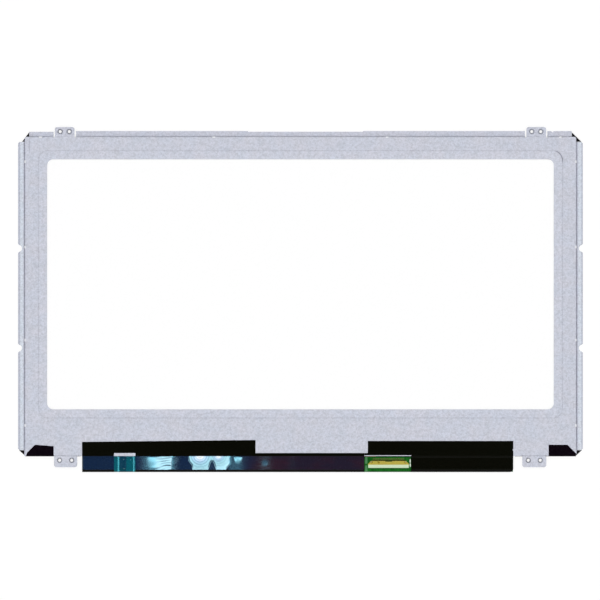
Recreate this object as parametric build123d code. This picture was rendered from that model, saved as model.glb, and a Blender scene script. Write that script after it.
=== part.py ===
from build123d import *
import math
import os

# Laptop screen panel, lying on its screen face with its back up, in millimetres.
# The origin is the centre of the picture area on the screen face. +X runs along the
# long edge, +Y towards the top edge of the picture and +Z from the screen to the back.

# Picture area
active_width = 344.2
active_height = 193.5

# Liquid-crystal cell, from the screen face to the back
front_polariser_thickness = 0.2
filter_glass_thickness = 0.5
array_glass_thickness = 0.5
rear_polariser_thickness = 0.15
polariser_inset = 0.5
array_ledge = 3.0
cell_fit = 0.15

# Light unit, in the same order
rim_tape_thickness = 0.06
shelf_thickness = 0.5
prism_sheet_thickness = 0.13
diffuser_thickness = 0.12
light_guide_thickness = 0.7
reflector_thickness = 0.2
shield_thickness = 0.1
guide_side_margin = 1.4
guide_top_margin = 1.0
guide_bottom_margin = 1.2
film_inset = 0.1
sheet_fit = 0.2

# Row of light-emitting diodes along the bottom edge
led_gap = 0.1
led_width = 3.0
led_depth = 1.0
led_height = 0.8
led_pitch = 7.6
led_end_margin = 2.0
led_strip_width = 3.0
led_strip_thickness = 0.12
led_tape_thickness = 0.06
led_tail_width = 4.0
led_tail_landing = 4.6
led_tail_fit = 0.3

# Moulded frames
side_bar = 1.65
top_bar = 1.65
bottom_bar = 2.05
guide_lip = 0.9
bottom_lip = 1.9
shelf_margin = 0.5
lip_recess = 0.3
frame_fit = 0.1
frame_corner = 2.1
ear_reach_up = 2.6
left_ear_reach = 1.5
right_ear_reach = 3.1
ear_fit = 0.1
passage_margin = 1.2
guide_toe = 0.25

# Rear plate, one folded steel sheet
sheet = 0.3
bend_radius = 0.35
bend_overlap = 1.0
flange_level = 1.0
side_flange = 4.0
top_flange = 3.5
top_left_flange = 3.0
flange_corner = 0.9
corner_relief = 3.0
side_relief = 3.4
plate_corner = 1.2
plate_corner_inset = 0.3
foot_height = 3.7
side_rail = 14.5
top_rail = 14.5
bottom_rail = 29.65
window_corner = 4.0
window_step_width = 5.4
window_step_depth = 0.08
window_step_corner = 6.0

# Screw tabs on the rear plate
top_tab_inset = 25.7
top_tab_width = 12.5
top_tab_length = 6.0
top_hole_spacing = 5.75
top_hole_offset = 3.1
tab_slot = 0.9
left_bottom_tab_inset = 26.3
right_bottom_tab_inset = 26.95
left_bottom_tab_width = 14.7
right_bottom_tab_width = 15.3
bottom_tab_length = 7.1
bottom_hole_spacing = 7.65
bottom_hole_offset = 2.7
tab_corner = 1.5
tab_relief = 0.25
joggle_start = -0.38
joggle_run = 0.5
joggle_depth = 0.22
hole_radius = 0.95
dimple_radius = 1.75
dimple_depth = 0.55
collar_radius = 1.95
collar_depth = 0.4

# Hook slots at the folds, notches in the flanges and cut-outs at the lower corners
hook_slot_length = 1.8
hook_slot_reach = 0.6
hook_slot_drop = 1.6
hook_fit = 0.1
top_hook_count = 4
top_hook_inset = 10.3
side_hook_outer_inset = 12.8
side_hook_inner_spacing = 59.2
edge_notch_spacing = 63.5
edge_notch_centre = -3.0
edge_notch_radius = 2.2
edge_notch_depth = 2.4
edge_notch_mouth = 5.8
edge_notch_flare = 0.6
top_relief_centre = 3.2
top_relief_length = 73.2
top_relief_depth = 0.45
vee_notch_offset = 10.4
vee_notch_width = 1.6
vee_notch_depth = 0.9
cutout_height = 7.2
left_cutout_tab_gap = 0.25
left_cutout_skew = 0.9
left_heel_margin = 1.6
left_heel_height = 2.0
left_foot_margin = 1.1
right_cutout_tab_gap = 1.45
right_heel_height = 1.3
shield_overlap = 1.5
shield_fit = 0.1

# Circuit board below the light unit
board_gap = 0.5
board_depth = 9.6
board_thickness = 0.6
board_left_inset = 36.9
board_right_inset = 40.45
component_height = 1.1
component_clearance = 0.1

# Driver films from the array glass to the board, with a chip on each
driver_count = 4
driver_film_thickness = 0.06
driver_glass_width = 34.0
driver_board_width = 30.0
driver_glass_bond = 2.2
driver_board_bond = 1.6
driver_chip_length = 20.0
driver_chip_depth = 1.4
driver_chip_height = 0.4

# Cover tapes and protective film
tape_thickness = 0.06
tape_radius = 0.3
tape_edge_margin = 0.15
tape_drop_start = 0.2
tape_drop_run = 0.6
tape_skirt_run = 0.5
tape_landing = 0.7
flap_height = 9.6
flap_skew = 0.6
left_flap_length = 110.4
lip_overlap = 1.9
tail_window_inset = 20.2
tail_window_width = 13.6
tail_window_offset = -1.1
right_flap_overhang = 0.3
socket_window_left = 2.5
socket_window_right = 1.5
right_tape_corner = 2.2
tape_joint = 0.05
side_nick_height = 3.9
side_nick_width = 1.6
side_nick_depth = 0.6
film_thickness = 0.05
film_gap = 0.02
film_edge_margin = 0.2
front_tape_margin = 0.3

# Cable socket, 40 contacts at half a millimetre
socket_inset = 79.25
socket_setback = 2.1
socket_width = 25.8
socket_depth = 5.0
contact_count = 40
contact_pitch = 0.5
contact_width = 0.22
contact_thickness = 0.12
contact_tail = 1.25
contact_rise = 0.32
contact_rise_run = 0.4
contact_radius = 0.1
contact_tip_gap = 0.6
shell_thickness = 0.15
shell_setback = 0.6
shell_depth = 2.35
shell_overhang = 0.12
shell_mark_radius = 0.3
shell_mark_setback = 0.6
shell_mark_depth = 0.45
shell_mark_spacing = 22.0
shell_key_offset = 6.8
shell_notch_width = 4.5
shell_notch_depth = 0.45
socket_roof = 0.15
socket_floor = 0.2
socket_back_wall = 1.3
socket_mouth_width = 22.0
socket_slot_width = 20.4
socket_shoulder_width = 2.0
socket_shoulder_depth = 2.1

# Other parts soldered to the board: length, depth and height
timing_controller_size = (6.0, 6.0, 0.85)
power_converter_size = (4.0, 4.0, 0.8)
led_driver_size = (4.0, 4.0, 0.8)
memory_size = (3.0, 4.4, 0.75)
fuse_size = (1.6, 0.8, 0.5)
inductor_size = (4.0, 4.0, 1.0)
capacitor_size = (1.6, 0.8, 0.8)
resistor_size = (1.0, 0.5, 0.35)
inductor_corner = 0.9
chip_edge = 0.08
chip_row_pitch = 1.5
capacitor_rows = 3
resistor_rows = 4

# Places of those that drive the light, from the board's left end
led_driver_place = 58.0
light_inductor_place = 65.0
light_capacitor_places = (45.0, 72.0)
light_resistor_places = (50.0, 77.0)

# Places of the others, from the middle of the socket
memory_place = -62.0
timing_controller_place = -45.0
fuse_place = 20.6
power_converter_place = 34.0
power_inductor_place = 42.0
signal_capacitor_places = (-53.0, -39.0, 26.0, 50.0)
signal_resistor_places = (-78.0, -70.0, -32.0, 56.0, 64.0)


# Levels, from the screen face to the back
z_filter = front_polariser_thickness
z_array = z_filter + filter_glass_thickness
z_rear_polariser = z_array + array_glass_thickness
z_rim = z_rear_polariser + rear_polariser_thickness
z_shelf = z_rim + rim_tape_thickness
z_films = z_shelf + shelf_thickness
z_lower_prism = z_films + prism_sheet_thickness
z_diffuser = z_lower_prism + prism_sheet_thickness
z_guide = z_diffuser + diffuser_thickness
z_reflector = z_guide + light_guide_thickness
z_shield = z_reflector + reflector_thickness
z_plate = z_shield + shield_thickness
z_back = z_plate + sheet
z_board = z_array + board_thickness
z_cover = z_board + component_height + component_clearance

# Edges of the light guide and of the frames' pocket behind the shelf
guide_x = active_width / 2 + guide_side_margin
guide_top = active_height / 2 + guide_top_margin
guide_bottom = -(active_height / 2 + guide_bottom_margin)
led_front = guide_bottom - led_gap
led_strip_bottom = led_front - led_strip_width
pocket_x = guide_x + sheet_fit
pocket_top = guide_top + sheet_fit
pocket_bottom = led_strip_bottom - sheet_fit

# Outer faces of the frames and of the rear plate
frame_x = pocket_x + side_bar
frame_top = pocket_top + top_bar
frame_bottom = pocket_bottom - bottom_bar
side_x = frame_x + frame_fit + sheet
top_y = frame_top + frame_fit + sheet
bottom_y = frame_bottom - frame_fit
wall_top = top_y - side_relief
wall_bottom = bottom_y + foot_height
bend_outer = bend_radius + sheet

# Edges of the glass
glass_x = frame_x - guide_lip - cell_fit
glass_top = frame_top - guide_lip - cell_fit
array_bottom = frame_bottom + bottom_lip + cell_fit
filter_bottom = array_bottom + array_ledge

# Edges of the board and of its socket
board_left = -side_x + board_left_inset
board_right = side_x - board_right_inset
board_top = bottom_y - board_gap
board_bottom = board_top - board_depth
board_middle = (board_top + board_bottom) / 2
socket_x = board_right - socket_inset
socket_back = board_top - socket_setback
socket_front = socket_back - socket_depth
shell_back = socket_back - shell_setback
shell_front = shell_back - shell_depth
shell_mark_xs = (-shell_mark_spacing / 2, -shell_key_offset, shell_mark_spacing / 2)
tape_low_y = board_bottom - tape_edge_margin
tape_flat_end = board_bottom + tape_landing + tape_skirt_run
z_tape_top = z_back + tape_thickness + film_gap + film_thickness

# Places of the tabs, hooks and openings
top_tab_x = side_x - top_tab_inset
left_bottom_tab_x = left_bottom_tab_inset - side_x
right_bottom_tab_x = side_x - right_bottom_tab_inset
left_cutout_x = left_bottom_tab_x - left_bottom_tab_width / 2 - left_cutout_tab_gap
right_cutout_x = right_bottom_tab_x + right_bottom_tab_width / 2 + right_cutout_tab_gap
cutout_top = bottom_y + cutout_height
tail_window_left = board_left + tail_window_inset
tail_window_right = tail_window_left + tail_window_width
led_tail_x = (tail_window_left + tail_window_right) / 2 + tail_window_offset
socket_window_x0 = socket_x - socket_width / 2 - socket_window_left
socket_window_x1 = socket_x + socket_width / 2 + socket_window_right
top_hook_span = 2 * (side_x - top_hook_inset)
top_hook_pitch = top_hook_span / (top_hook_count - 1)
top_hook_xs = [-top_hook_span / 2 + i * top_hook_pitch for i in range(top_hook_count)]
side_hook_outer = active_height / 2 - side_hook_outer_inset
side_hook_inner = side_hook_inner_spacing / 2
side_hook_ys = [-side_hook_outer, -side_hook_inner, side_hook_inner, side_hook_outer]


# Shape helpers
def block(x0, x1, y0, y1, z0, z1):
    """Box between two corners."""
    middle = Pos((x0 + x1) / 2, (y0 + y1) / 2, (z0 + z1) / 2)
    return middle * Box(x1 - x0, y1 - y0, z1 - z0)


def slab(points, z0, z1):
    """Flat plate with a straight-sided outline."""
    outline = make_face(Polyline(*points, close=True))
    return Pos(0, 0, z0) * extrude(outline, z1 - z0)


def rounded_block(x0, x1, y0, y1, z0, z1, corner):
    """Box whose upright edges are rounded."""
    outline = RectangleRounded(x1 - x0, y1 - y0, corner)
    return Pos((x0 + x1) / 2, (y0 + y1) / 2, z0) * extrude(outline, z1 - z0)


def unit(x, y):
    """Direction of a flat vector."""
    length = math.hypot(x, y)
    return x / length, y / length


def offset_right(path, distance):
    """Corners of a flat path moved sideways to the right of its direction."""
    headings = [unit(b[0] - a[0], b[1] - a[1]) for a, b in zip(path, path[1:])]
    moved = []
    for i, (x, y) in enumerate(path):
        before = headings[max(i - 1, 0)]
        after = headings[min(i, len(headings) - 1)]
        across = unit(before[1] + after[1], -before[0] - after[0])
        reach = distance / (across[0] * after[1] - across[1] * after[0])
        moved.append((x + across[0] * reach, y + across[1] * reach))
    return moved


def bent_section(path, thickness, left_radius, right_radius):
    """Cross-section of a bent sheet that lies to the right of its path.

    left_radius is the path's own radius where it turns left, and right_radius is the
    other face's radius where it turns right, so each is the inside of its bend.
    """
    far_side = offset_right(path, thickness)
    near_radii = []
    far_radii = []
    for a, b, c in zip(path, path[1:], path[2:]):
        turn = (b[0] - a[0]) * (c[1] - b[1]) - (b[1] - a[1]) * (c[0] - b[0])
        near_radii.append(left_radius if turn > 0 else right_radius + thickness)
        far_radii.append(left_radius + thickness if turn > 0 else right_radius)
    near = FilletPolyline(*path, radius=near_radii)
    far = FilletPolyline(*far_side, radius=far_radii)
    ends = [Line(path[0], far_side[0]), Line(path[-1], far_side[-1])]
    return make_face([near, far, *ends])


def along_x(section, x0, x1):
    """Section drawn in Y and Z, run from one X to another."""
    plane = Plane(origin=(x0, 0, 0), x_dir=(0, 1, 0), z_dir=(1, 0, 0))
    return extrude(plane * section, x1 - x0, dir=(1, 0, 0))


def along_y(section, y0, y1):
    """Section drawn in X and Z, run from one Y to another."""
    plane = Plane(origin=(0, y1, 0), x_dir=(1, 0, 0), z_dir=(0, -1, 0))
    return extrude(plane * section, y1 - y0, dir=(0, -1, 0))


# Liquid-crystal cell
def make_front_polariser():
    x = glass_x - polariser_inset
    return block(-x, x, filter_bottom + polariser_inset, glass_top - polariser_inset, 0, z_filter)


def make_colour_filter_glass():
    return block(-glass_x, glass_x, filter_bottom, glass_top, z_filter, z_array)


def make_array_glass():
    return block(-glass_x, glass_x, array_bottom, glass_top, z_array, z_rear_polariser)


def make_rear_polariser():
    x = glass_x - polariser_inset
    bottom = filter_bottom + polariser_inset
    return block(-x, x, bottom, glass_top - polariser_inset, z_rear_polariser, z_rim)


def shelf_opening(z0, z1):
    """Opening of the shelf that frames the picture area."""
    x = active_width / 2 + shelf_margin
    y = active_height / 2 + shelf_margin
    return block(-x, x, -y, y, z0, z1)


def make_rim_tape():
    x = glass_x - polariser_inset
    bottom = filter_bottom + polariser_inset
    ring = block(-x, x, bottom, glass_top - polariser_inset, z_rim, z_shelf)
    return ring - shelf_opening(z_rim, z_shelf)


# Sheets of the light unit
def guide_sheet(z0, z1, inset):
    """Sheet of the light guide's outline, drawn in on every edge."""
    x = guide_x - inset
    return block(-x, x, guide_bottom + inset, guide_top - inset, z0, z1)


# Row of diodes on a flexible strip, whose tail runs out to the board
def led_strip_x():
    return guide_x - led_end_margin


def make_led_strip_tape():
    x = led_strip_x()
    return block(-x, x, led_strip_bottom, led_front, z_films, z_films + led_tape_thickness)


def make_led_strip_flex():
    z0 = z_films + led_tape_thickness
    x = led_strip_x()
    strip = block(-x, x, led_strip_bottom, led_front, z0, z0 + led_strip_thickness)
    path = [
        (led_front, z0),
        (bottom_y - tape_drop_start, z0),
        (bottom_y - tape_drop_start - tape_drop_run, z_board),
        (board_middle - led_tail_landing / 2, z_board),
    ]
    section = bent_section(path, led_strip_thickness, tape_radius, tape_radius)
    tail_x0 = led_tail_x - led_tail_width / 2
    return strip + along_x(section, tail_x0, tail_x0 + led_tail_width)


def make_leds():
    z0 = z_films + led_tape_thickness + led_strip_thickness
    count = int((2 * led_strip_x() - led_width) / led_pitch) + 1
    first = -(count - 1) * led_pitch / 2
    leds = []
    for i in range(count):
        x0 = first + i * led_pitch - led_width / 2
        leds.append(block(x0, x0 + led_width, led_front - led_depth, led_front, z0, z0 + led_height))
    return leds


# Moulded frames
def make_backlight_frame():
    ring = block(-frame_x, frame_x, frame_bottom, frame_top, z_films, z_plate)
    upper_corners = ring.edges().filter_by(Axis.Z).group_by(Axis.Y)[-1]
    ring = chamfer(upper_corners, frame_corner)
    ring = chamfer(ring.faces().sort_by(Axis.Z)[-1].edges(), bend_radius)
    ring -= block(-pocket_x, pocket_x, pocket_bottom, pocket_top, z_films, z_plate)
    hook_bottom = z_back - hook_slot_drop + hook_fit
    half = hook_slot_length / 2 - hook_fit
    for x in top_hook_xs:
        tip = top_y - hook_fit / 2
        ring += block(x - half, x + half, frame_top - hook_slot_reach, tip, hook_bottom, z_plate)
    for y in side_hook_ys:
        tip = side_x - hook_fit / 2
        hook = block(frame_x - hook_slot_reach, tip, y - half, y + half, hook_bottom, z_plate)
        ring += hook
        ring += mirror(hook, about=Plane.YZ)
    tail_half = led_tail_width / 2 + led_tail_fit
    tail_top = z_films + led_tape_thickness + led_strip_thickness + led_tail_fit
    ring -= block(led_tail_x - tail_half, led_tail_x + tail_half,
                  frame_bottom, pocket_bottom, z_films, tail_top)
    margin = shield_overlap + shield_fit
    recess_top = cutout_top + margin
    for x0, x1 in ((-frame_x, left_cutout_x + margin), (right_cutout_x - margin, frame_x)):
        ring -= block(x0, x1, frame_bottom, recess_top, z_shield, z_plate)
    return ring


def make_panel_guide():
    z_ear = flange_level + sheet
    guide = block(-frame_x, frame_x, frame_bottom, frame_top, lip_recess, z_films)
    inner_x = side_x - corner_relief + ear_fit
    ear_low = wall_top + ear_fit
    for side, reach in ((-1, left_ear_reach), (1, right_ear_reach)):
        guide += slab([
            (side * inner_x, top_y + ear_reach_up),
            (side * (side_x + reach), ear_low),
            (side * inner_x, ear_low),
        ], lip_recess, z_ear)
    foot = foot_height - ear_fit
    lower_ear = slab([
        (frame_x, bottom_y + foot),
        (side_x + foot - frame_fit - ear_fit, bottom_y + foot),
        (frame_x, frame_bottom),
    ], lip_recess, z_ear)
    guide += lower_ear
    guide += mirror(lower_ear, about=Plane.YZ)
    toe_y = bottom_y - guide_toe
    for x0, x1 in ((-frame_x, board_left - passage_margin), (board_right + passage_margin, frame_x)):
        guide += block(x0, x1, toe_y, frame_bottom, lip_recess, z_films)
    guide -= shelf_opening(lip_recess, z_films)
    cell_x = glass_x + cell_fit
    guide -= block(-cell_x, cell_x, array_bottom - cell_fit, glass_top + cell_fit, 0, z_shelf)
    guide -= block(board_left - passage_margin, board_right + passage_margin,
                   frame_bottom, array_bottom, 0, z_shelf)
    return guide


def corner_shield(side, cutout_x):
    """Thin sheet behind one lower cut-out, stepped to clear the screw tab and the side fold."""
    edge_x = side * (frame_x - shield_fit / 2)
    fold_x = side * (side_x - bend_outer)
    fold_y = wall_bottom - shield_fit
    top = cutout_top + shield_overlap
    inner_x = cutout_x - side * shield_overlap
    tab_x = cutout_x - side * shield_fit
    tab_y = bottom_y + bend_outer + shield_fit
    return slab([
        (tab_x, bottom_y),
        (edge_x, bottom_y),
        (edge_x, fold_y),
        (fold_x, fold_y),
        (fold_x, top),
        (inner_x, top),
        (inner_x, tab_y),
        (tab_x, tab_y),
    ], z_shield, z_plate)


# Rear plate
def fold_section(edge, flange):
    """Wall and flange beyond one straight edge of the plate."""
    z_flange = flange_level + sheet
    path = [
        (edge - bend_outer - bend_overlap, z_back),
        (edge, z_back),
        (edge, z_flange),
        (edge + flange, z_flange),
    ]
    return bent_section(path, sheet, bend_radius, bend_radius)


def screw_tab(width, length, spacing, offset):
    """Joggled tab with two dimpled holes, drawn outwards along +Y from its edge at Y = 0."""
    z_tab = z_back - joggle_depth
    path = [
        (-bend_outer - bend_overlap, z_back),
        (joggle_start, z_back),
        (joggle_start + joggle_run, z_tab),
        (length, z_tab),
    ]
    section = bent_section(path, sheet, bend_radius, bend_radius)
    tab = along_x(section, -width / 2, width / 2)
    tab = fillet(tab.edges().filter_by(Axis.Z).group_by(Axis.Y)[-1], tab_corner)
    z_front = z_tab - sheet
    dimple_rise = dimple_radius - hole_radius
    for x in (-spacing / 2, spacing / 2):
        collar = Cylinder(collar_radius, collar_depth)
        tab += Pos(x, offset, z_front - collar_depth / 2) * collar
    for x in (-spacing / 2, spacing / 2):
        cone = Cone(hole_radius, hole_radius + dimple_rise, dimple_depth)
        tab -= Pos(x, offset, z_tab - dimple_depth / 2) * cone
        hole = Cylinder(hole_radius, sheet + collar_depth)
        tab -= Pos(x, offset, z_tab - (sheet + collar_depth) / 2) * hole
    return tab


def flat_plate():
    """Flat of the plate, with its window and the cut-outs at the lower corners."""
    x = side_x - bend_outer
    plate = block(-x, x, bottom_y, top_y - bend_outer, z_plate, z_back)
    corner = block(side_x - corner_relief, side_x - plate_corner_inset,
                   wall_top, top_y - plate_corner_inset, z_plate, z_back)
    outer_edge = corner.edges().filter_by(Axis.Z).group_by(Axis.Y)[-1].sort_by(Axis.X)[-1]
    corner = fillet(outer_edge, plate_corner)
    plate += corner
    plate += mirror(corner, about=Plane.YZ)
    plate += block(-side_x, side_x, bottom_y, wall_bottom, z_plate, z_back)
    window_x = side_x - side_rail
    window_top = top_y - top_rail
    window_bottom = bottom_y + bottom_rail
    plate -= rounded_block(-window_x, window_x, window_bottom, window_top,
                           z_plate, z_back, window_corner)
    step = window_step_width
    plate -= rounded_block(-window_x - step, window_x + step,
                           window_bottom - step, window_top + step,
                           z_back - window_step_depth, z_back, window_step_corner)
    left_heel_x = left_heel_margin - side_x
    plate -= slab([
        (left_cutout_x, bottom_y),
        (left_cutout_x, cutout_top - left_cutout_skew),
        (left_heel_x + cutout_height - left_heel_height, cutout_top),
        (left_heel_x, bottom_y + left_heel_height),
        (left_foot_margin - side_x, bottom_y),
    ], z_plate, z_back)
    plate -= slab([
        (right_cutout_x, bottom_y),
        (right_cutout_x, cutout_top),
        (side_x - cutout_height + right_heel_height, cutout_top),
        (side_x, bottom_y + right_heel_height),
        (side_x, bottom_y),
    ], z_plate, z_back)
    return plate


def side_fold():
    """Right-hand wall and flange, with its two edge notches."""
    fold = along_y(fold_section(side_x, side_flange), wall_bottom, wall_top)
    outer_x = side_x + side_flange
    corners = fold.edges().filter_by(Axis.Z).group_by(Axis.X)[-1]
    fold = chamfer(corners, flange_corner)
    z0 = flange_level
    z1 = flange_level + sheet
    throat_x = outer_x - edge_notch_flare
    for y in (edge_notch_centre - edge_notch_spacing / 2, edge_notch_centre + edge_notch_spacing / 2):
        mouth = slab([
            (outer_x, y - edge_notch_mouth / 2),
            (outer_x, y + edge_notch_mouth / 2),
            (throat_x, y + edge_notch_radius),
            (throat_x, y - edge_notch_radius),
        ], z0, z1)
        bite_x = outer_x - edge_notch_depth + edge_notch_radius
        bite = Pos(bite_x, y, (z0 + z1) / 2) * Cylinder(edge_notch_radius, sheet)
        fold -= mouth
        fold -= bite
    return fold


def top_folds():
    """Wall and flange along the top edge, in three lengths between the tabs."""
    end_x = side_x - corner_relief
    tab_half = top_tab_width / 2 + tab_slot
    lengths = [
        (top_left_flange, -end_x, -top_tab_x - tab_half),
        (top_flange, -top_tab_x + tab_half, top_tab_x - tab_half),
        (top_flange, top_tab_x + tab_half, end_x),
    ]
    folds = [along_x(fold_section(top_y, flange), x0, x1) for flange, x0, x1 in lengths]
    outer_y = top_y + top_flange
    relief_half = top_relief_length / 2
    folds[1] -= block(top_relief_centre - relief_half, top_relief_centre + relief_half,
                      outer_y - top_relief_depth, outer_y, flange_level, flange_level + sheet)
    vee_x = top_tab_x + vee_notch_offset
    folds[-1] -= slab([
        (vee_x - vee_notch_width / 2, outer_y),
        (vee_x + vee_notch_width / 2, outer_y),
        (vee_x, outer_y - vee_notch_depth),
    ], flange_level, flange_level + sheet)
    return folds


def make_rear_plate():
    plate = flat_plate()
    right_fold = side_fold()
    plate += right_fold
    plate += mirror(right_fold, about=Plane.YZ)
    for fold in top_folds():
        plate += fold
    top_tab = screw_tab(top_tab_width, top_tab_length, top_hole_spacing, top_hole_offset)
    for x in (-top_tab_x, top_tab_x):
        plate += Pos(x, top_y, 0) * top_tab
    for x, width in (
        (left_bottom_tab_x, left_bottom_tab_width),
        (right_bottom_tab_x, right_bottom_tab_width),
    ):
        relief_half = width / 2 + tab_relief
        bottom_tab = screw_tab(width, bottom_tab_length, bottom_hole_spacing, bottom_hole_offset)
        plate -= block(x - relief_half, x + relief_half, bottom_y, bottom_y + bend_outer, z_plate, z_back)
        plate += Pos(x, bottom_y, 0) * Rot(0, 0, 180) * bottom_tab
    z_slot = z_back - hook_slot_drop
    half = hook_slot_length / 2
    reach = sheet + hook_slot_reach
    for x in top_hook_xs:
        plate -= block(x - half, x + half, top_y - reach, top_y, z_slot, z_back)
    for y in side_hook_ys:
        slot = block(side_x - reach, side_x, y - half, y + half, z_slot, z_back)
        plate -= slot
        plate -= mirror(slot, about=Plane.YZ)
    return plate


# Driver films and chips
def driver_x(index):
    spacing = (board_right - board_left) / driver_count
    return board_left + (index + 0.5) * spacing


def driver_film(index):
    x = driver_x(index)
    glass_y = array_bottom + driver_glass_bond
    board_y = board_top - driver_board_bond
    return slab([
        (x - driver_glass_width / 2, glass_y),
        (x + driver_glass_width / 2, glass_y),
        (x + driver_board_width / 2, board_y),
        (x - driver_board_width / 2, board_y),
    ], z_array - driver_film_thickness, z_array)


def driver_chip(index):
    x = driver_x(index)
    y = (array_bottom + board_top) / 2
    half_length = driver_chip_length / 2
    half_depth = driver_chip_depth / 2
    return block(x - half_length, x + half_length, y - half_depth, y + half_depth,
                 z_array, z_array + driver_chip_height)


# Circuit board and what is soldered to it
def make_control_board():
    return block(board_left, board_right, board_bottom, board_top, z_array, z_board)


def soldered_part(size, x, y=board_middle, corner=0):
    """Low body standing on the board, its top edges eased."""
    length, depth, height = size
    body = block(x - length / 2, x + length / 2, y - depth / 2, y + depth / 2,
                 z_board, z_board + height)
    if corner:
        body = chamfer(body.edges().filter_by(Axis.Z), corner)
    return chamfer(body.faces().sort_by(Axis.Z)[-1].edges(), chip_edge)


def soldered_columns(size, light_places, signal_places, rows):
    """Short columns of like parts, set across the board."""
    xs = [board_left + place for place in light_places]
    xs += [socket_x + place for place in signal_places]
    first = board_middle - (rows - 1) * chip_row_pitch / 2
    ys = [first + i * chip_row_pitch for i in range(rows)]
    return [soldered_part(size, x, y) for x in xs for y in ys]


def make_board_inductors():
    xs = (board_left + light_inductor_place, socket_x + power_inductor_place)
    return [soldered_part(inductor_size, x, corner=inductor_corner) for x in xs]


def make_board_capacitors():
    return soldered_columns(capacitor_size, light_capacitor_places,
                            signal_capacitor_places, capacitor_rows)


def make_board_resistors():
    return soldered_columns(resistor_size, light_resistor_places,
                            signal_resistor_places, resistor_rows)


# Cable socket
def make_signal_socket_housing():
    half = socket_width / 2
    z_top = z_board + component_height - shell_thickness
    shoulder_x = half - socket_shoulder_width
    shoulder_y = shell_back - socket_shoulder_depth
    housing = slab([
        (socket_x - half, socket_front),
        (socket_x + half, socket_front),
        (socket_x + half, shoulder_y),
        (socket_x + shoulder_x, shell_back),
        (socket_x - shoulder_x, shell_back),
        (socket_x - half, shoulder_y),
    ], z_board, z_top)
    mouth_half = socket_mouth_width / 2
    mouth_back = socket_back - socket_back_wall
    z_roof = z_top - socket_roof
    housing -= block(socket_x - mouth_half, socket_x + mouth_half, socket_front, mouth_back,
                     z_board + socket_floor, z_roof)
    slot_half = socket_slot_width / 2
    slot_front = mouth_back - contact_rise_run
    housing -= block(socket_x - slot_half, socket_x + slot_half, slot_front, shell_back,
                     z_board, z_roof)
    notch_half = shell_notch_width / 2
    housing -= block(socket_x - notch_half, socket_x + notch_half, shell_back - shell_notch_depth, shell_back,
                     z_board + socket_floor, z_top)
    for x in shell_mark_xs:
        mark = Cylinder(shell_mark_radius, shell_mark_depth)
        housing -= Pos(socket_x + x, shell_back - shell_mark_setback, z_top - shell_mark_depth / 2) * mark
    housing += block(socket_x - half, socket_x + half, socket_front, shell_front - shell_overhang,
                     z_roof, z_board + component_height)
    return housing


def make_signal_socket_shell():
    half = socket_width / 2 + shell_overhang
    z_top = z_board + component_height
    path = [
        (-half - shell_thickness, z_board),
        (-half - shell_thickness, z_top),
        (half + shell_thickness, z_top),
        (half + shell_thickness, z_board),
    ]
    section = bent_section(path, shell_thickness, contact_radius, contact_radius)
    shell = Pos(socket_x, 0, 0) * along_y(section, shell_front, shell_back)
    outer_x = half + shell_thickness
    for side in (-1, 1):
        shell -= slab([
            (socket_x + side * (outer_x - socket_shoulder_width), shell_back),
            (socket_x + side * outer_x, shell_back - socket_shoulder_depth),
            (socket_x + side * outer_x, shell_back),
        ], z_board, z_top)
    for x in shell_mark_xs:
        mark = Cylinder(shell_mark_radius, 2 * shell_thickness)
        shell -= Pos(socket_x + x, shell_back - shell_mark_setback, z_top) * mark
    notch_half = shell_notch_width / 2
    shell -= block(socket_x - notch_half, socket_x + notch_half, shell_back - shell_notch_depth, shell_back,
                   z_top - shell_thickness, z_top)
    return shell


def make_signal_socket_contacts():
    z_beam = z_board + contact_rise
    path = [
        (socket_back + contact_tail, z_board),
        (shell_back, z_board),
        (shell_back - contact_rise_run, z_beam),
        (socket_front + contact_tip_gap, z_beam),
    ]
    section = bent_section(path, contact_thickness, contact_radius, contact_radius)
    first = socket_x - (contact_count - 1) * contact_pitch / 2
    contacts = []
    for i in range(contact_count):
        x0 = first + i * contact_pitch - contact_width / 2
        contacts.append(along_x(section, x0, x0 + contact_width))
    return contacts


# Cover tapes and film
def cover_path():
    """Under face of the cover tapes, from the plate down over the board to its edge."""
    drop_y = bottom_y - tape_drop_start
    return [
        (bottom_y + flap_height + flap_skew, z_back),
        (drop_y, z_back),
        (drop_y - tape_drop_run, z_cover),
        (tape_flat_end, z_cover),
        (tape_flat_end - tape_skirt_run, z_board),
        (tape_low_y, z_board),
    ]


def lower_right_edge(shape):
    """Upright edge at the lower right-hand corner of a flat shape."""
    return shape.edges().filter_by(Axis.Z).group_by(Axis.Y)[0].sort_by(Axis.X)[-1]


def cover_sheet(x0, x1):
    section = bent_section(cover_path(), tape_thickness, tape_radius, tape_radius)
    return along_x(section, x0, x1)


def make_left_cover_tape():
    x0 = board_left - tape_edge_margin
    flap_x = x0 + left_flap_length
    lip_y = bottom_y + lip_overlap
    outline = slab([
        (x0, tape_low_y),
        (x0, bottom_y + flap_height - flap_skew),
        (flap_x, bottom_y + flap_height + flap_skew),
        (flap_x, lip_y),
        (socket_window_x0, lip_y),
        (socket_window_x0, tape_low_y),
    ], z_array, z_tape_top)
    outline -= block(tail_window_left, tail_window_right, tape_low_y, lip_y, z_array, z_tape_top)
    return cover_sheet(x0, socket_window_x0) & outline


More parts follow.
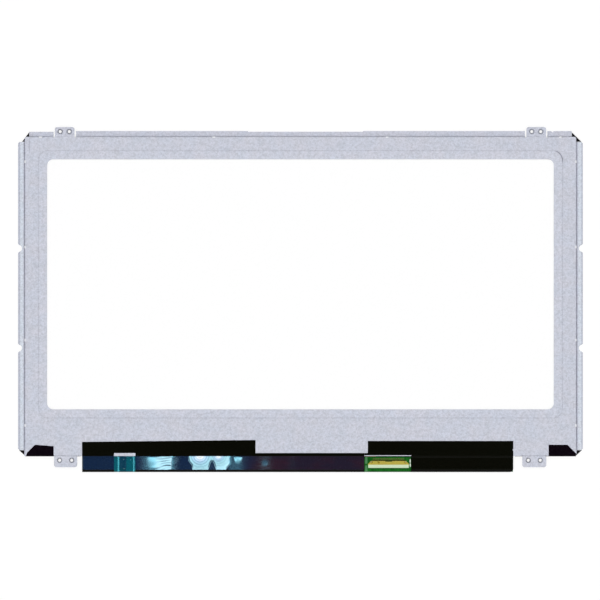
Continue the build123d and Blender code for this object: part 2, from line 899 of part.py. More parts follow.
def make_right_cover_tape():
    x0 = socket_x - socket_width / 2 - right_flap_overhang
    x1 = board_right + tape_edge_margin
    flap_top = bottom_y + flap_height
    sill_y = bottom_y + board_gap
    lip_y = bottom_y + lip_overlap
    joint_x = socket_window_x0 + tape_joint
    nick_y = bottom_y + side_nick_height
    outline = slab([
        (joint_x, sill_y),
        (joint_x, lip_y),
        (x0, lip_y),
        (x0, flap_top),
        (x1, flap_top),
        (x1, nick_y + side_nick_width / 2),
        (x1 - side_nick_depth, nick_y),
        (x1, nick_y - side_nick_width / 2),
        (x1, tape_low_y),
        (socket_window_x1, tape_low_y),
        (socket_window_x1, sill_y),
    ], z_array, z_tape_top)
    outline = fillet(lower_right_edge(outline), right_tape_corner)
    return cover_sheet(joint_x, x1) & outline


def make_board_film():
    lift = tape_thickness + film_gap
    path = offset_right(cover_path(), lift)
    inner_radius = tape_radius - film_gap - film_thickness
    section = bent_section(path, film_thickness, tape_radius + lift, inner_radius)
    x0 = board_left - tape_edge_margin
    film_top = bottom_y - tape_drop_start / 2
    film_low = tape_flat_end + film_edge_margin
    outline = block(x0, socket_window_x0, film_low, film_top, z_array, z_tape_top)
    return along_x(section, x0, socket_window_x0) & outline


def make_front_cover_tape():
    z1 = z_array - driver_film_thickness
    tape = block(board_left - tape_edge_margin, board_right + tape_edge_margin,
                 tape_low_y, filter_bottom - front_tape_margin, z1 - tape_thickness, z1)
    return fillet(lower_right_edge(tape), right_tape_corner)


def write(name, shape):
    """One file for each node, holding one solid or a group of like solids."""
    solids = Compound(children=shape) if isinstance(shape, list) else shape
    export_step(solids, f"parts/{name}.step")


os.makedirs("parts", exist_ok=True)

write("front_polariser", make_front_polariser())
write("colour_filter_glass", make_colour_filter_glass())
write("array_glass", make_array_glass())
write("rear_polariser", make_rear_polariser())
write("rim_tape", make_rim_tape())
write("upper_prism_sheet", guide_sheet(z_films, z_lower_prism, film_inset))
write("lower_prism_sheet", guide_sheet(z_lower_prism, z_diffuser, film_inset))
write("diffuser_sheet", guide_sheet(z_diffuser, z_guide, film_inset))
write("light_guide", guide_sheet(z_guide, z_reflector, 0))
write("reflector_sheet", guide_sheet(z_reflector, z_shield, 0))
write("led_strip_tape", make_led_strip_tape())
write("led_strip_flex", make_led_strip_flex())
write("leds", make_leds())
write("backlight_frame", make_backlight_frame())
write("panel_guide", make_panel_guide())
write("corner_shield_left", corner_shield(-1, left_cutout_x))
write("corner_shield_right", corner_shield(1, right_cutout_x))
write("rear_plate", make_rear_plate())
for number in range(driver_count):
    write(f"driver_film_{number + 1}", driver_film(number))
    write(f"driver_chip_{number + 1}", driver_chip(number))
write("control_board", make_control_board())
write("timing_controller", soldered_part(timing_controller_size, socket_x + timing_controller_place))
write("power_converter", soldered_part(power_converter_size, socket_x + power_converter_place))
write("led_driver_chip", soldered_part(led_driver_size, board_left + led_driver_place))
write("memory_chip", soldered_part(memory_size, socket_x + memory_place))
write("board_fuse", soldered_part(fuse_size, socket_x + fuse_place))
write("board_inductors", make_board_inductors())
write("board_capacitors", make_board_capacitors())
write("board_resistors", make_board_resistors())
write("signal_socket_housing", make_signal_socket_housing())
write("signal_socket_shell", make_signal_socket_shell())
write("signal_socket_contacts", make_signal_socket_contacts())
write("left_cover_tape", make_left_cover_tape())
write("right_cover_tape", make_right_cover_tape())
write("board_film", make_board_film())
write("front_cover_tape", make_front_cover_tape())
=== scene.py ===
import math

import bmesh
import bpy
from mathutils import Matrix, Vector, noise


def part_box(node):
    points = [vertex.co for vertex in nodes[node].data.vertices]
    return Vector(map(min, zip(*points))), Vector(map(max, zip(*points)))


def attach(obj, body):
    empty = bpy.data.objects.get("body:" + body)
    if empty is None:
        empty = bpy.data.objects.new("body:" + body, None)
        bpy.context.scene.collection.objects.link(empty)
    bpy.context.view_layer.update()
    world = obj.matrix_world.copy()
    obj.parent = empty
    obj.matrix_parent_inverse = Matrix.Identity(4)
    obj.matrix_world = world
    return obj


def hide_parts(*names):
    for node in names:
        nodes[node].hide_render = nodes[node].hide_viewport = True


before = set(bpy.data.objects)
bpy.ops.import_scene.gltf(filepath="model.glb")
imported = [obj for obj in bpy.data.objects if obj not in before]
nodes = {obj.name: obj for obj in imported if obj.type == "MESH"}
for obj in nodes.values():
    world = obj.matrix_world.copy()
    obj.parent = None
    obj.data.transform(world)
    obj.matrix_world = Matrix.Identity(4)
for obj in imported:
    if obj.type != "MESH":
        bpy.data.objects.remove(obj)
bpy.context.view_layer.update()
scene = bpy.context.scene
mm = 0.001


# Camera, looking straight down on the rear face
photo_width = 381.8 * mm
photo_centre = (-0.3 * mm, -4.1 * mm)
camera_height = 3.0
sensor_width = 36.0


def set_camera():
    plate_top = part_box("rear_plate")[1].z
    data = bpy.data.cameras.new("camera")
    data.sensor_width = sensor_width
    data.lens = sensor_width * camera_height / photo_width
    data.clip_start = 0.1
    data.clip_end = 100
    camera = bpy.data.objects.new("camera", data)
    camera.location = (*photo_centre, plate_top + camera_height)
    scene.collection.objects.link(camera)
    scene.camera = camera


# Material building blocks
class Finish:
    """A procedural material whose patterns sit on the piece's object coordinates."""

    def __init__(self, name, colour, roughness, metallic=0.0, specular=0.5):
        self.material = bpy.data.materials.new(name)
        self.material.use_nodes = True
        self.tree = self.material.node_tree
        self.shader = self.tree.nodes["Principled BSDF"]
        self.place = self.add("ShaderNodeTexCoord").outputs["Object"]
        self.set("Base Color", (*colour, 1))
        self.set("Roughness", roughness)
        self.set("Metallic", metallic)
        self.set("Specular IOR Level", specular)

    def add(self, kind):
        return self.tree.nodes.new(kind)

    def link(self, source, target):
        self.tree.links.new(source, target)

    def set(self, socket, value):
        self.shader.inputs[socket].default_value = value

    def stretched(self, stretch):
        """Object coordinates drawn out along chosen axes."""
        mapping = self.add("ShaderNodeMapping")
        mapping.inputs["Scale"].default_value = [1 / s for s in stretch]
        self.link(self.place, mapping.inputs["Vector"])
        return mapping.outputs["Vector"]

    def noise(self, grain, detail=2.0, stretch=None):
        """Cloudy pattern with lumps about one grain across, from 0 to 1."""
        texture = self.add("ShaderNodeTexNoise")
        texture.inputs["Scale"].default_value = 1 / (grain * mm)
        texture.inputs["Detail"].default_value = detail
        self.link(self.stretched(stretch) if stretch else self.place, texture.inputs["Vector"])
        return texture.outputs["Fac"]

    def ramp(self, factor, stops):
        """Colours along a factor, from (position, colour) stops."""
        node = self.add("ShaderNodeValToRGB")
        points = node.color_ramp.elements
        while len(points) < len(stops):
            points.new(0.5)
        for point, (position, colour) in zip(points, stops):
            point.position = position
            point.color = (*colour, 1)
        self.link(factor, node.inputs["Fac"])
        return node.outputs["Color"]

    def span(self, value, low, high, to_low=0.0, to_high=1.0):
        """One range of a value carried onto another, held at its ends."""
        node = self.add("ShaderNodeMapRange")
        for socket, number in zip(("From Min", "From Max", "To Min", "To Max"),
                                  (low, high, to_low, to_high)):
            node.inputs[socket].default_value = number
        self.link(value, node.inputs["Value"])
        return node.outputs["Result"]

    def blend(self, factor, first, second, kind="MIX"):
        """Two colours mixed by a factor, each a socket or a plain colour."""
        node = self.add("ShaderNodeMix")
        node.data_type = "RGBA"
        node.blend_type = kind
        for socket, value in ((node.inputs[0], factor), (node.inputs[6], first), (node.inputs[7], second)):
            if isinstance(value, bpy.types.NodeSocket):
                self.link(value, socket)
            else:
                socket.default_value = value if isinstance(value, float) else (*value, 1)
        return node.outputs[2]

    def axis(self, letter):
        """One object coordinate, in metres."""
        split = self.add("ShaderNodeSeparateXYZ")
        self.link(self.place, split.inputs["Vector"])
        return split.outputs[letter]

    def band(self, value, rise, rise_end, fall, fall_end):
        """Mask that is 1 within a band of a value, with a ramp at each side."""
        return self.math("MULTIPLY", self.span(value, rise, rise_end),
                         self.span(value, fall, fall_end, 1.0, 0.0))

    def apart(self, letter, place):
        """Distance along one axis from a place, in metres."""
        return self.math("ABSOLUTE", self.math("SUBTRACT", self.axis(letter), place))

    def near(self, point, inner, outer):
        """Spot round a point in millimetres, 1 up to the inner radius and 0 past the outer."""
        node = self.add("ShaderNodeVectorMath")
        node.operation = "DISTANCE"
        self.link(self.place, node.inputs[0])
        node.inputs[1].default_value = [c * mm for c in point]
        return self.span(node.outputs["Value"], inner * mm, outer * mm, 1.0, 0.0)

    def math(self, operation, first, second=0.0):
        node = self.add("ShaderNodeMath")
        node.operation = operation
        for socket, value in zip(node.inputs, (first, second)):
            if isinstance(value, bpy.types.NodeSocket):
                self.link(value, socket)
            else:
                socket.default_value = value
        return node.outputs["Value"]

    def colour(self, source):
        self.link(source, self.shader.inputs["Base Color"])

    def roughen(self, factor, low, high):
        self.link(self.span(factor, 0.25, 0.75, low, high), self.shader.inputs["Roughness"])

    def bump(self, height, depth, strength=1.0):
        """Fine relief, a depth in millimetres."""
        node = self.add("ShaderNodeBump")
        node.inputs["Strength"].default_value = strength
        node.inputs["Distance"].default_value = depth * mm
        self.link(height, node.inputs["Height"])
        self.link(node.outputs["Normal"], self.shader.inputs["Normal"])


def shade(colour, share):
    return tuple(c * share for c in colour)


def mottled(name, colour, roughness, grain, spread=0.08, depth=0.004, stretch=None, **sockets):
    """Plain surface with a slight drift of colour, gloss and relief."""
    finish = Finish(name, colour, roughness, **sockets)
    cloud = finish.noise(grain, 3.0, stretch)
    finish.colour(finish.ramp(cloud, [(0.3, shade(colour, 1 - spread)), (0.7, shade(colour, 1 + spread))]))
    finish.roughen(cloud, roughness * 0.88, roughness * 1.12)
    finish.bump(finish.noise(grain * 0.4, 2.0, stretch), depth)
    return finish.material


# Finishes of this panel, with the places on the plate where its colour shifts, most of them painted light
# and shade
flange_middle_x = 0.2 * mm
# Painted shade in the side folds and along the side flanges' outer edges, painted light on the side flanges
side_fold = (174.9 * mm, 175.3 * mm, 176.3 * mm, 176.8 * mm)
side_edge = (178.4 * mm, 179.2 * mm)
# Painted light across the top fold, lifting the shade its step throws, and painted shade on the top flange
top_fold_y = 99.93 * mm
top_fold_edge = (0.2 * mm, 0.45 * mm)
top_flange = (100.3 * mm, 100.6 * mm)
# Painted shade along the stamped step's line, deepest at its curve near the window's top right corner
step_middle_y = 5.875 * mm
step_half = (166.65 * mm, 85.025 * mm)
step_corner = 6.0 * mm
step_edge = (0.15 * mm, 0.5 * mm)
inside_step = (-0.2 * mm, 0.0)
shaded_corner_x = (161 * mm, 163 * mm)
shaded_corner_y = (83 * mm, 84.5 * mm)
scribe_x = -172.5 * mm
scribe_edge = (0.15 * mm, 0.4 * mm)
scribe_low_y = (89.0 * mm, 89.5 * mm)


def step_distance(finish):
    """Signed distance from the stamped step round the window, negative inside it."""
    out_x = finish.math("SUBTRACT", finish.math("ABSOLUTE", finish.axis("X")), step_half[0] - step_corner)
    out_y = finish.math("SUBTRACT", finish.apart("Y", step_middle_y), step_half[1] - step_corner)
    corner_x = finish.math("POWER", finish.math("MAXIMUM", out_x, 0.0), 2.0)
    corner_y = finish.math("POWER", finish.math("MAXIMUM", out_y, 0.0), 2.0)
    round_part = finish.math("SQRT", finish.math("ADD", corner_x, corner_y))
    flat_part = finish.math("MINIMUM", finish.math("MAXIMUM", out_x, out_y), 0.0)
    return finish.math("SUBTRACT", finish.math("ADD", round_part, flat_part), step_corner)


def zinc_steel():
    """Zinc-coated sheet, speckled, with painted shade in its side folds, on the top flange, along its
    flanges' outer edges and along the stamped step, and painted light on the side flanges and across the top
    fold.
    """
    pale = (0.440, 0.451, 0.508)
    finish = Finish("zinc_steel", pale, 0.5, metallic=0.9)
    spangle = finish.math("ADD", finish.math("MULTIPLY", finish.noise(1.5, 2.0), 0.6),
                          finish.math("MULTIPLY", finish.noise(0.75, 2.0), 0.4))
    drift = finish.noise(8.0, 2.0)
    grey = finish.ramp(spangle, [(0.34, shade(pale, 0.83)), (0.50, pale), (0.66, shade(pale, 1.15))])
    tint = finish.ramp(drift, [(0.32, (0.965, 0.985, 1.0)), (0.68, (1.0, 0.99, 0.985))])
    colour = finish.blend(1.0, grey, tint, "MULTIPLY")

    def tinted(mask, factor):
        return finish.blend(mask, colour, finish.blend(1.0, colour, factor, "MULTIPLY"))

    out = finish.apart("X", flange_middle_x)
    up = finish.axis("Y")
    # Painted light on the side flanges, painted shade in the side folds and along the flanges' outer edges
    colour = tinted(finish.span(out, side_fold[2], side_fold[3]), (1.11, 1.15, 1.13))
    colour = tinted(finish.band(out, *side_fold), (0.90, 0.90, 0.93))
    colour = tinted(finish.span(out, *side_edge), (0.70, 0.69, 0.74))
    # Painted light across the top fold and painted shade on the top flange
    top_fold_light = finish.span(finish.apart("Y", top_fold_y), *top_fold_edge, 1.0, 0.0)
    colour = tinted(top_fold_light, (1.22, 1.22, 1.22))
    colour = tinted(finish.span(up, *top_flange), (0.965, 0.965, 0.975))
    from_step = step_distance(finish)
    colour = tinted(finish.span(from_step, *inside_step, 1.0, 0.0), (1.02, 1.02, 1.02))
    # Painted shade along the stamped step's line, deeper at its curve near the window's top right corner
    step_shade = finish.span(finish.math("ABSOLUTE", from_step), *step_edge, 1.0, 0.0)
    shaded_corner = finish.math("MULTIPLY", finish.span(finish.axis("X"), *shaded_corner_x),
                              finish.span(up, *shaded_corner_y))
    colour = tinted(step_shade, (0.86, 0.86, 0.87))
    colour = tinted(finish.math("MULTIPLY", step_shade, shaded_corner), (0.55, 0.55, 0.58))
    beside_scribe = finish.span(finish.apart("X", scribe_x), *scribe_edge, 1.0, 0.0)
    on_scribe = finish.math("MULTIPLY", beside_scribe, finish.span(up, *scribe_low_y))
    colour = tinted(on_scribe, (0.80, 0.80, 0.82))
    finish.colour(colour)
    finish.roughen(spangle, 0.44, 0.56)
    finish.bump(finish.noise(0.55, 2.0), 0.006, 0.6)
    return finish.material


# Places on the blue film, in millimetres, that its finish and its shape share
film_ends = (-140.0, 42.0)
# Span of the painted highlight along the film's left edge
film_edge_highlight = (-138.9, -138.0)
film_flat = 2.63
tail_window = (-118.8, -118.5, -105.2, -104.9)
tail_edges = (-115.3, -114.7, -111.2, -110.6)
knob_place = (-22.6, -107.9)
# Reach of the painted sheen round the blister
knob_sheen_edge = (0.6, 2.8)
shell_middles = (-63.9, -52.2)
shell_top_y = -103.0
shell_rise = 3.2
# Painted ring reflections over the shells: their reach and the reflection tint of each ring
ring_reflection_reach = (12.0, 8.0)
shell_ring_reflections = [(0.0, (0.50, 0.87, 1.0)), (0.08, (0.43, 0.75, 0.84)), (0.30, (0.41, 0.73, 0.80)),
               (0.39, (0.33, 0.62, 0.70)), (0.458, (0.41, 0.73, 0.82)), (0.525, (0.29, 0.53, 0.63)),
               (0.592, (0.43, 0.69, 0.83)), (0.65, (0.31, 0.54, 0.69)), (0.717, (0.62, 0.80, 0.97)),
               (0.758, (0.50, 0.72, 0.89)), (0.82, (0.88, 0.97, 1.0))]
film_haze = [(-106.0, 0.07), (-103.0, 0.11), (-99.0, 0.17), (-95.5, 0.19), (-91.0, 0.13), (-82.4, 0.10),
             (-81.5, 0.185), (-80.0, 0.145), (-77.6, 0.11), (-75.5, 0.07), (-72.5, 0.09), (-59.5, 0.09),
             (-58.0, 0.12), (-54.5, 0.12), (-53.0, 0.09), (-46.5, 0.09), (-45.0, 0.17), (-38.8, 0.17),
             (-35.5, 0.11), (-32.5, 0.075), (-28.5, 0.08), (-24.5, 0.13), (-20.5, 0.13), (-16.5, 0.08),
             (-9.0, 0.07), (-6.5, 0.095), (-4.5, 0.095), (-2.5, 0.07)]


def blue_film():
    """Glossy tinted film, hazy beside its creases and clearer over the flexible tail, with a painted
    highlight along its left edge, a painted sheen round the blister and painted ring reflections over the
    shells.
    """
    navy = (0.0045, 0.018, 0.070)
    finish = Finish("blue_film", navy, 0.06)
    place_x = finish.axis("X")
    along = finish.span(place_x, film_ends[0] * mm, film_ends[1] * mm)
    drift = finish.noise(14.0, 2.0, (2.0, 1.0, 1.0))
    place = finish.math("ADD", along, finish.span(drift, 0.3, 0.7, -0.04, 0.04))
    # Painted highlight along the film's left edge
    inside = finish.span(place_x, *(x * mm for x in film_edge_highlight))
    blue = finish.blend(inside, (0.050, 0.075, 0.095), navy)
    plum = finish.ramp(finish.noise(7.0, 2.0, (2.0, 1.0, 1.0)),
                       [(0.38, (0.034, 0.0050, 0.021)), (0.62, (0.018, 0.0055, 0.025))])
    base = finish.blend(finish.span(place, 0.53, 0.60), blue, plum)
    # Painted sheen round the blister
    base = finish.blend(finish.near((*knob_place, film_flat), *knob_sheen_edge), base, (0.024, 0.085, 0.16))
    window = finish.band(place_x, *(x * mm for x in tail_window))
    over_tail = finish.band(place_x, *(x * mm for x in tail_edges))
    glimpse = finish.blend(over_tail, (0.006, 0.172, 0.254), (0.006, 0.080, 0.155))
    finish.colour(finish.blend(window, base, glimpse))
    finish.link(finish.span(window, 0.0, 1.0, 1.0, 0.5), finish.shader.inputs["Alpha"])
    finish.set("IOR", 4.2)
    # Painted ring reflections over the shells, set into the tint of the film's reflection
    nearest = finish.math("MAXIMUM", *(finish.near((middle, shell_top_y, shell_rise), 0.0, reach)
                                       for middle, reach in zip(shell_middles, ring_reflection_reach)))
    tint = finish.ramp(nearest, shell_ring_reflections)
    length = film_ends[1] - film_ends[0]
    haze = finish.ramp(along, [((x - film_ends[0]) / length, (level,) * 3) for x, level in film_haze])
    finish.link(haze, finish.shader.inputs["Roughness"])
    bluer = finish.blend(1.0, tint, (0.68, 0.95, 1.0), "MULTIPLY")
    tint = finish.blend(finish.span(haze, 0.125, 0.165), tint, bluer)
    tint = finish.blend(window, tint, (0.12, 0.52, 0.60))
    finish.link(tint, finish.shader.inputs["Specular Tint"])
    return finish.material


pale_patch_edges = (41.0 * mm, 41.3 * mm, 42.5 * mm, 42.8 * mm)
pale_patch_gap_y = -108.9 * mm
pale_patch_gap_edge = (0.4 * mm, 0.8 * mm)


def green_board():
    """Green solder mask, paler in a patch beside the socket."""
    mask = (0.0060, 0.107, 0.009)
    finish = Finish("green_board", mask, 0.2, specular=0.12)
    weave = finish.noise(0.9, 2.0, (1.0, 4.0, 1.0))
    green = finish.ramp(weave, [(0.35, shade(mask, 0.75)), (0.65, shade(mask, 1.3))])
    clear_of_gap = finish.span(finish.apart("Y", pale_patch_gap_y), *pale_patch_gap_edge)
    # Paler patch beside the socket
    pale_patch = finish.math("MULTIPLY", finish.band(finish.axis("X"), *pale_patch_edges), clear_of_gap)
    finish.colour(finish.blend(pale_patch, green, (0.075, 0.24, 0.092)))
    finish.roughen(weave, 0.16, 0.24)
    finish.bump(weave, 0.004, 0.5)
    return finish.material


# Pressed marks on the shell, where shade is painted
shell_marks = [(45.4, -107.4, 2.4), (49.9, -107.5, 2.4), (66.8, -107.5, 2.4)]
mark_edge = (0.35, 0.85)


def gold_plate():
    """Gold-plated shell, with painted shade in its three pressed marks."""
    gold = (0.36, 0.30, 0.056)
    finish = Finish("gold_plate", gold, 0.34, metallic=1.0)
    cloud = finish.noise(0.5, 3.0)
    colour = finish.ramp(cloud, [(0.3, shade(gold, 0.9)), (0.7, shade(gold, 1.1))])
    # Painted shade in the three pressed marks
    for mark in shell_marks:
        colour = finish.blend(finish.near(mark, *mark_edge), colour, (0.20, 0.135, 0.012))
    finish.colour(colour)
    finish.roughen(cloud, 0.30, 0.38)
    finish.bump(finish.noise(0.2, 2.0), 0.002)
    return finish.material


finishes = {
    "zinc_steel": zinc_steel(),
    "white_reflector": mottled("white_reflector", (0.95, 0.95, 0.95), 0.6, 1.2, 0.01, 0.002),
    "white_moulding": mottled("white_moulding", (0.76, 0.77, 0.79), 0.45, 1.5, 0.03),
    "black_moulding": mottled("black_moulding", (0.004, 0.0034, 0.0046), 0.5, 0.5, 0.2, 0.01, specular=0.06),
    "black_shield": mottled("black_shield", (0.0024, 0.0004, 0.0028), 0.15, 2.0, 0.2, 0.001, specular=0.12),
    "black_tape": mottled("black_tape", (0.0016, 0.0018, 0.0003), 0.15, 0.7, 0.25, 0.001, specular=0.12),
    "blue_film": blue_film(),
    "white_tape": mottled("white_tape", (0.80, 0.80, 0.78), 0.5, 1.0, 0.04),
    "polariser": mottled("polariser", (0.010, 0.010, 0.012), 0.32, 0.3, 0.15, 0.002),
    "cell_glass": mottled("cell_glass", (0.06, 0.08, 0.075), 0.08, 4.0, 0.1, 0.0005),
    "optical_film": mottled("optical_film", (0.72, 0.75, 0.80), 0.22, 0.4, 0.04, 0.004, (40.0, 1.0, 1.0)),
    "diffuser": mottled("diffuser", (0.85, 0.85, 0.85), 0.7, 0.5, 0.03),
    "clear_acrylic": mottled("clear_acrylic", (0.74, 0.79, 0.79), 0.1, 5.0, 0.03, 0.001),
    "flexible_circuit": mottled("flexible_circuit", (0.006, 0.005, 0.032), 0.3, 1.0, 0.2, 0.004),
    "white_led": mottled("white_led", (0.82, 0.76, 0.36), 0.4, 0.8, 0.08),
    "green_board": green_board(),
    "chip_black": mottled("chip_black", (0.010, 0.010, 0.011), 0.6, 0.25, 0.2, 0.006),
    "chip_ceramic": mottled("chip_ceramic", (0.27, 0.15, 0.075), 0.5, 0.3, 0.12),
    "ferrite": mottled("ferrite", (0.033, 0.033, 0.036), 0.65, 0.25, 0.2, 0.008),
    "ivory_plastic": mottled("ivory_plastic", (0.56, 0.69, 0.47), 0.45, 0.6, 0.05),
    "gold_plate": gold_plate(),
    "driver_film": mottled("driver_film", (0.26, 0.09, 0.012), 0.3, 1.0, 0.1),
}

# Contacts in a dull olive tin colour, darkened further as painted shade for the gap behind the shell
contact_tin_shade_finish = mottled("contact_tin_and_shade", (0.10, 0.125, 0.032), 0.4, 0.3, 0.15, 0.002, metallic=1.0)
# Dark olive finish of the bar that paints the shade in the gap behind the socket's shell
shade_bar_finish = mottled("socket_shade_bar", (0.030, 0.045, 0.002), 0.5, 0.4, 0.2, 0.004, specular=0.1)
solder_finish = mottled("tin_solder", (0.52, 0.60, 0.50), 0.3, 0.4, 0.1, 0.004, metallic=1.0)

slot_of = {
    "front_polariser": "polariser", "rear_polariser": "polariser",
    "colour_filter_glass": "cell_glass", "array_glass": "cell_glass", "rim_tape": "black_tape",
    "upper_prism_sheet": "optical_film", "lower_prism_sheet": "optical_film",
    "diffuser_sheet": "diffuser", "light_guide": "clear_acrylic", "reflector_sheet": "white_reflector",
    "led_strip_tape": "white_tape", "led_strip_flex": "flexible_circuit", "leds": "white_led",
    "backlight_frame": "white_moulding", "panel_guide": "black_moulding",
    "corner_shield_left": "black_shield", "corner_shield_right": "black_shield",
    "rear_plate": "zinc_steel", "control_board": "green_board",
    "timing_controller": "chip_black", "power_converter": "chip_black",
    "led_driver_chip": "chip_black", "memory_chip": "chip_black",
    "board_fuse": "chip_ceramic", "board_inductors": "ferrite",
    "board_capacitors": "chip_ceramic", "board_resistors": "chip_black",
    "signal_socket_housing": "ivory_plastic", "signal_socket_shell": "gold_plate",
    "signal_socket_contacts": "gold_plate",
    "left_cover_tape": "black_tape", "right_cover_tape": "black_tape",
    "board_film": "blue_film", "front_cover_tape": "black_tape",
}
for number in range(1, 5):
    slot_of[f"driver_film_{number}"] = "driver_film"
    slot_of[f"driver_chip_{number}"] = "chip_black"

for name, slot in slot_of.items():
    node = nodes[name]
    node.data.materials.clear()
    node.data.materials.append(contact_tin_shade_finish if name == "signal_socket_contacts" else finishes[slot])


def piece(name, mesh_builder, slot, finish=None):
    """Object at the origin from a finished bmesh, riding on the panel."""
    mesh = bpy.data.meshes.new(name)
    mesh_builder.to_mesh(mesh)
    mesh_builder.free()
    mesh.materials.append(finish or finishes[slot])
    obj = bpy.data.objects.new(name, mesh)
    scene.collection.objects.link(obj)
    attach(obj, "root")
    return obj


# Blue film over the board, in millimetres: flat on the tape, drawn up to the plate in places
film_thickness = 0.05
film_on_plate = 3.712
film_fold_y = (-104.22, -104.25)
film_tent_low = 2.66
film_columns = [(-139.0, 0), (-121.0, 18), (-32.0, 445), (40.65, 73)]
film_rows = [(-103.5, 0), (film_fold_y[0], 4), (film_fold_y[1], 1), (-112.1, 40)]
film_wave = 0.012
wave_scale = (0.10, 0.2)
film_sag = [(-118.65, 0.0), (-116.8, -0.06), (-115.05, 0.050), (-110.95, -0.02), (-107.0, -0.11),
            (-105.2, 0.0)]
tail_cover = 1.3
cover_edges = (-118.6, -118.2, -105.5, -105.1)
panel_rise = (-98.8, -87.5)
panel_end = -76.0
panel_streak = 3.4
streak_height = 0.030
streak_slant = 0.15
streak_drift = 0.15
crease_x = -81.4
crease_half = 0.2
behind_crease = 0.25
behind_start = 0.5
behind_end = -75.5
shell_left, left_edge, left_taper, left_taper_down = -71.2, 0.5, 2.4, (0.25, 0.75)
shell_right, right_edge, right_taper, right_taper_down = -44.4, 0.6, 2.9, (0.45, 1.0)
shell_join = -57.8
shell_ring = 1.6
ring_height = 0.012
crumple_height = 0.01
crumple_scale = 0.5
arch_x = -56.2
arch_half = 3.3
arch_top = 0.30
arch_soft = 0.35
knot_rise = (-42.4, -40.4)
knot_fall = (-39.4, -36.8)
knot_share = 0.32
knot_down = (0.084, 0.5)
bow_ends = (-0.06, 0.06)
bow_turn = (-97.0, -82.0)
bow_rise = (-102.0, -93.5)
bow_fall = (-83.0, -81.0)
knob_height = 0.11
knob_radius = (1.9, 1.2)
diagonal = 0.7071


def smooth(low, high, value):
    t = min(1.0, max(0.0, (value - low) / (high - low)))
    return t * t * (3 - 2 * t)


def film_rest(y):
    """Height of the film where it is folded down over the plate's edge onto the tape."""
    folded = min(1.0, max(0.0, (film_fold_y[0] - y) / (film_fold_y[0] - film_fold_y[1])))
    return film_on_plate + (film_flat - film_on_plate) * folded


def film_lift(x, down):
    """Share of the way from the tape to a straight tent, at a share of the way down the strip."""
    crease = crease_x - down
    creased = smooth(crease - crease_half, crease + crease_half, x)
    panel = smooth(*panel_rise, x) * (1 - creased)
    behind = behind_crease * creased * (1 - smooth(crease + behind_start, behind_end, x))
    left = shell_left + left_taper * smooth(*left_taper_down, down)
    right = shell_right - right_taper * smooth(*right_taper_down, down)
    shells = smooth(left, left + left_edge, x) * (1 - smooth(right - right_edge, right, x))
    arch = arch_half * math.sqrt(max(0.0, down - arch_top))
    if arch:
        shells *= smooth(arch - arch_soft, arch + arch_soft, abs(x - arch_x))
    fade = max(0.0, 1 - max(0.0, down - knot_down[0]) / knot_down[1])
    knot = knot_share * smooth(*knot_rise, x) * (1 - smooth(*knot_fall, x)) * fade
    return max(panel, behind, shells, knot)


def film_ripple(x, y):
    """Fine waves of the drawn film: arcs round the shells' middles, streaks on the panel."""
    if x < panel_end:
        drift = noise.noise(Vector((x * streak_drift, y * streak_drift, 1.0)))
        return streak_height * math.sin(2 * math.pi * (y - streak_slant * x) / panel_streak + 2.0 * drift)
    middle = shell_middles[0] if x < shell_join else shell_middles[1]
    reach = math.hypot(x - middle, y - shell_top_y)
    crumple = crumple_height * noise.noise(Vector((x * crumple_scale, y * crumple_scale, 2.0)))
    return ring_height * math.sin(2 * math.pi * reach / shell_ring) + crumple


def film_bow(x, down):
    """Sag of the drawn panel between its edges, turning from a bulge to a hollow along it."""
    hollow = bow_ends[0] + (bow_ends[1] - bow_ends[0]) * smooth(*bow_turn, x)
    return hollow * math.sin(math.pi * down) * smooth(*bow_rise, x) * (1 - smooth(*bow_fall, x))


def film_dip(x):
    """Sag of the film into the window over the tail."""
    for (x0, z0), (x1, z1) in zip(film_sag, film_sag[1:]):
        if x0 <= x <= x1:
            return z0 + (z1 - z0) * smooth(x0, x1, x)
    return 0.0


def film_over_tail(x):
    """Share of the extra length that covers the tail down to the board's edge."""
    return smooth(*cover_edges[:2], x) * (1 - smooth(*cover_edges[2:], x))


def film_knob(x, y):
    """Small blister on the plain length of the film."""
    across = (x - knob_place[0] + y - knob_place[1]) * diagonal
    along = (x - knob_place[0] - y + knob_place[1]) * diagonal
    return knob_height * math.exp(-(across / knob_radius[0]) ** 2 - (along / knob_radius[1]) ** 2)


def film_height(x, y, down):
    lift = film_lift(x, down)
    tent = film_on_plate + (film_tent_low - film_on_plate) * down
    wave = film_wave * noise.noise(Vector((x * wave_scale[0], y * wave_scale[1], 3.0)))
    height = film_rest(y) * (1 - lift) + (tent + film_ripple(x, y)) * lift
    return min(film_on_plate, height + film_dip(x) + film_knob(x, y) + wave - film_bow(x, down))


def stepped(places, step):
    """Place of one grid line, from (place, lines up to it from the place before)."""
    for (start, _), (end, count) in zip(places, places[1:]):
        if step <= count:
            return start + (end - start) * step / count
        step -= count
    return places[-1][0]


